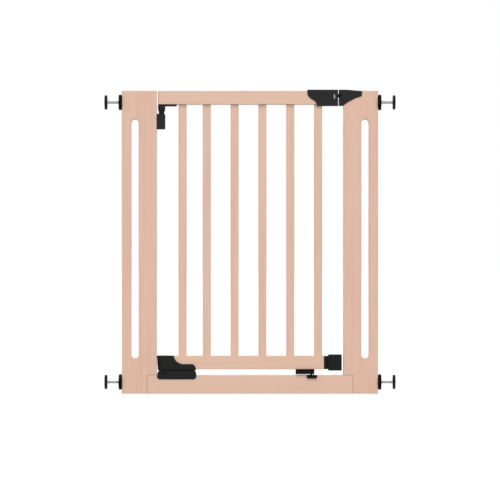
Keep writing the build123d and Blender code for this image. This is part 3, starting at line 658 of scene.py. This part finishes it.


# Finishes

# A board's turn and heart, how pale it is, how much shade is painted into its joints, and whether it is
# a bar, which gets a painted shadow under the top rail
boards = {
    "left_post": (UPRIGHT, (0.46, 0.035, 0.11), 0.06, 0.95),
    "right_post": (UPRIGHT, (-0.17, 0.052, 0.47), 0.03, 0.95),
    "threshold_rail": (LEVEL, (0.045, 0.03, 0.31), 0.7, 0.95),
    "leaf_top_rail": (LEVEL, (0.62, 0.028, 0.77), 0.38, 0.4),
    "leaf_bottom_rail": (LEVEL, (0.20, -0.036, 0.15), 0.42, 0.3),
    "leaf_bar_1": (UPRIGHT, (0.24, 0.021, 0.39), 0.2, 0.25, True),
    "leaf_bar_2": (UPRIGHT, (0.05, 0.034, 0.83), 0.1, 0.25, True),
    "leaf_bar_3": (UPRIGHT, (0.12, -0.029, 0.21), 0.08, 0.25, True),
    "leaf_bar_4": (UPRIGHT, (-0.10, 0.025, 0.57), 0.12, 0.25, True),
    "leaf_bar_5": (UPRIGHT, (-0.03, 0.031, 0.05), 0.0, 0.25, True),
    "leaf_bar_6": (UPRIGHT, (-0.26, -0.023, 0.66), 0.16, 0.25, True),
    "frame_dowels": (LEVEL, (0.02, 0.01, 0.4), 0.0, 0.25),
}
latch_plastic = moulded_plastic("black_latch_plastic", 0.0118, 0.5)
hinge_plastic = moulded_plastic("black_hinge_plastic", 0.0058, 0.52)
block_plastic = moulded_plastic("black_block_plastic", 0.004, 0.55)
wheel_plastic = moulded_plastic("black_wheel_plastic", 0.002, 0.46, 0.08)
bolt_plastic = moulded_plastic("black_bolt_plastic", 0.004, 0.36)
fastener_steel = plated_steel("plated_fastener_steel", 0.56, 2, 1.0)
spindle_steel = plated_steel("plated_spindle_steel", 0.62, 0, 0.5)
spring_steel = plated_steel("spring_steel", 0.36, 2, 1.0)
black_steel = lacquered_steel("black_lacquered_steel")
pad_rubber = black_rubber("pad_rubber")
lens_green = tinted_lens("lens_green")

plain_finishes = {
    "black_steel": black_steel,
    "black_plastic": block_plastic,
    "fastener_steel": fastener_steel,
    "spindle_steel": spindle_steel,
    "pad_rubber": pad_rubber,
    "indicator": lens_green,
}
own_finishes = {
    "latch_front_shell": latch_plastic,
    "latch_rear_shell": latch_plastic,
    "strike": latch_plastic,
    "upper_hinge_socket": latch_plastic,
    "upper_hinge_bracket": hinge_plastic,
    "upper_hinge_pin": hinge_plastic,
    "lower_hinge_shoe": hinge_plastic,
    "lower_hinge_saddle": hinge_plastic,
    "latch_bolt": bolt_plastic,
    "thumb_slide": bolt_plastic,
    "stop_base": wheel_plastic,
    "stop_flap": wheel_plastic,
    "bolt_spring": spring_steel,
    "closing_spring": spring_steel,
}
ends = [f"{height}_{hand}" for height in ("top", "bottom") for hand in ("left", "right")]
for end in ends:
    own_finishes[f"handwheel_{end}"] = wheel_plastic
    own_finishes[f"wall_pad_{end}"] = wheel_plastic

node_slots = {row["node"]: row["material_slot"] for row in frame["record"]["subparts"]}
for node, piece in frame["nodes"].items():
    if node in boards:
        finish = beech(f"beech_{node}", *boards[node])
    elif node in own_finishes:
        finish = own_finishes[node]
    else:
        finish = plain_finishes[node_slots[node]]
    for holder in piece.material_slots:
        holder.material = finish

# New pieces

LATCH_SCREW_STEP = 18.1 * MM

for end in ends:
    threaded_rod(end)
    ringed_facing(end)
hollow_rivet()
screw_rows = [
    ("socket_screws", "frame", (1, 0, 0), 1),
    ("saddle_screws", "frame", (0, 0, 1), 2),
    ("bracket_screws", "leaf", (0, 0, -1), 2),
    ("shoe_screws", "leaf", (0, 0, -1), 2),
    ("stop_screws", "leaf", (0, 0, -1), 2),
    ("end_block_screw", "leaf", (0, 0, -1), 1),
]
for node, body, direction, count in screw_rows:
    add_screws(node, body, [(seat, direction) for seat in screw_row(node, direction, count)])

low, high = corners("strike_screws")
strike_seats = [
    ((low.x, 0, low.z + HEAD_RADIUS), (-1, 0, 0)),
    ((high.x - HEAD_RADIUS, 0, high.z), (0, 0, 1)),
]
add_screws("strike_screws", "frame", strike_seats)

low, high = corners("latch_screws")
latch_places = [
    (low.x + HEAD_RADIUS, high.z - HEAD_RADIUS),
    (high.x - HEAD_RADIUS - LATCH_SCREW_STEP, low.z + HEAD_RADIUS),
    (high.x - HEAD_RADIUS, low.z + HEAD_RADIUS),
]
add_screws("latch_screws", "leaf", [((x, high.y, z), (0, 1, 0)) for x, z in latch_places])

# Studio

AMBIENT = 0.62
FLOOR_SIZE = 30.0
FLOOR_GREY = 0.42
FLOOR_GLOW = 0.62
FLOOR_SHEEN = 0.03
SHEEN_ROUGHNESS = 0.12
SOFTBOX_DEGREES = 50


def looked_at(maker):
    """One for a ray from the camera, a mirror or through glass, and nothing for light on the object."""
    rays = ("Is Camera Ray", "Is Glossy Ray", "Is Transmission Ray")
    seen, mirrored, through = [maker.node("LightPath", None, None, ray) for ray in rays]
    return (seen + mirrored + through).limited()


def studio_floor():
    """A pale floor under the object that shows only a faint shadow and reflection."""
    shape = bmesh.new()
    bmesh.ops.create_grid(shape, x_segments=4, y_segments=4, size=FLOOR_SIZE)
    mesh = mesh_of("studio_floor", shape)
    floor = new_object("studio_floor", mesh)
    material = bpy.data.materials.new("studio_floor_white")
    maker = node_maker(material)
    matt = maker.node("BsdfDiffuse", None, {"Color": grey(FLOOR_GREY)})
    sheen = maker.node("BsdfGlossy", None, {"Color": WHITE, "Roughness": SHEEN_ROUGHNESS})
    base = maker.node("MixShader", None, {0: FLOOR_SHEEN, 1: matt, 2: sheen})
    strength = looked_at(maker) * FLOOR_GLOW
    glow = maker.node("Emission", None, {"Color": WHITE, "Strength": strength})
    total = maker.node("AddShader", None, {0: base, 1: glow})
    maker.node("OutputMaterial", None, {"Surface": total})
    mesh.materials.append(material)


def studio_world():
    """White wherever it is looked at or mirrored, and a soft even fill otherwise."""
    world = bpy.data.worlds.new("studio_world")
    bpy.context.scene.world = world
    maker = node_maker(world)
    strength = looked_at(maker) * (1 - AMBIENT) + AMBIENT
    light = maker.node("Background", None, {"Color": WHITE, "Strength": strength})
    maker.node("OutputWorld", None, {"Surface": light})


def softbox(name, strength, towards):
    """A wide soft lamp that shines in one direction."""
    lamp = bpy.data.lights.new(name, "SUN")
    lamp.energy = strength
    lamp.angle = math.radians(SOFTBOX_DEGREES)
    holder = new_object(name, lamp)
    holder.rotation_euler = Vector(towards).to_track_quat("-Z", "Y").to_euler()


def photo_camera():
    """Level and square on, at the height of the middle of the picture."""
    distance = 6.0
    width_seen = 1.34375
    eye_height = 0.385
    lens = bpy.data.cameras.new("photo_camera")
    lens.sensor_width = 36.0
    lens.lens = lens.sensor_width * distance / width_seen
    camera = new_object("photo_camera", lens)
    camera.location = (0.0, -distance, eye_height)
    camera.rotation_euler = (math.pi / 2, 0.0, 0.0)
    bpy.context.scene.camera = camera


studio_floor()
studio_world()
softbox("key_softbox", 1.53, (-0.2, 0.75, -0.63))
softbox("fill_softbox", 0.44, (0.15, 1.0, -0.1))
softbox("back_softbox", 1.0, (0.1, -0.9, -0.4))
photo_camera()
bpy.context.scene.view_settings.view_transform = "Standard"
